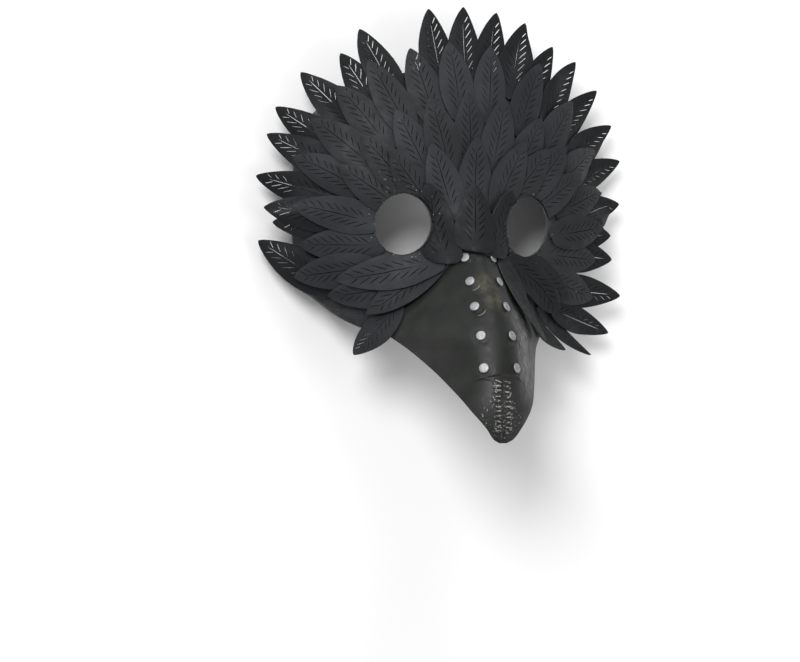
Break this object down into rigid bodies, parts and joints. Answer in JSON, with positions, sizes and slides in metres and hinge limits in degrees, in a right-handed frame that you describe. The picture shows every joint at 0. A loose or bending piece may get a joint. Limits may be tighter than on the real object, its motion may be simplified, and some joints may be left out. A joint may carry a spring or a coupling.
{
  "type": "feathered bird half mask",
  "caption": "Black bird half mask: curved face shell with round eye holes, hooked hollow beak with domed studs, and overlapping rows of leaf-shaped feathers.",
  "frame": {"origin": "middle of the mask's footprint on the surface it lies on, in the plane of its temple rims", "axes": "+Z out of the face, the way the mask looks; +Y towards the forehead; +X to the viewer's right, the wearer's left"},
  "size_m": [0.2278, 0.2428, 0.1201],
  "materials": {
    "feather_leather": "matte charcoal imitation leather",
    "beak_leather": "satin black imitation leather, scuffed grey on the flanks",
    "shell_lining": "matte black backing",
    "nickel": "satin nickel"
  },
  "bodies": {
    "root": {"beak": "beak_leather", "bridge_feathers": "feather_leather", "brow_feathers": "feather_leather", "eye_feathers": "feather_leather", "face_shell": "shell_lining", "left_cheek_feathers": "feather_leather", "middle_feather_01": "feather_leather", "middle_feather_02": "feather_leather", "middle_feather_03": "feather_leather", "middle_feather_04": "feather_leather", "middle_feather_05": "feather_leather", "middle_feather_06": "feather_leather", "middle_feather_07": "feather_leather", "middle_feather_08": "feather_leather", "middle_feather_09": "feather_leather", "middle_feather_10": "feather_leather", "middle_feather_11": "feather_leather", "middle_feather_12": "feather_leather", "middle_feather_13": "feather_leather", "middle_feather_14": "feather_leather", "middle_feather_15": "feather_leather", "middle_feather_16": "feather_leather", "middle_feather_17": "feather_leather", "middle_feather_18": "feather_leather", "outer_feather_01": "feather_leather", "outer_feather_02": "feather_leather", "outer_feather_03": "feather_leather", "outer_feather_04": "feather_leather", "outer_feather_05": "feather_leather", "outer_feather_06": "feather_leather", "outer_feather_07": "feather_leather", "outer_feather_08": "feather_leather", "outer_feather_09": "feather_leather", "outer_feather_10": "feather_leather", "outer_feather_11": "feather_leather", "outer_feather_12": "feather_leather", "outer_feather_13": "feather_leather", "outer_feather_14": "feather_leather", "outer_feather_15": "feather_leather", "outer_feather_16": "feather_leather", "outer_feather_17": "feather_leather", "outer_feather_18": "feather_leather", "outer_feather_19": "feather_leather", "outer_feather_20": "feather_leather", "outer_feather_21": "feather_leather", "outer_feather_22": "feather_leather", "outer_feather_23": "feather_leather", "outer_feather_24": "feather_leather", "right_cheek_feathers": "feather_leather", "stud_left_1": "nickel", "stud_left_2": "nickel", "stud_left_3": "nickel", "stud_left_4": "nickel", "stud_left_5": "nickel", "stud_right_1": "nickel", "stud_right_2": "nickel", "stud_right_3": "nickel", "stud_right_4": "nickel", "stud_right_5": "nickel", "temple_feather_01": "feather_leather"}
  },
  "joints": []
}
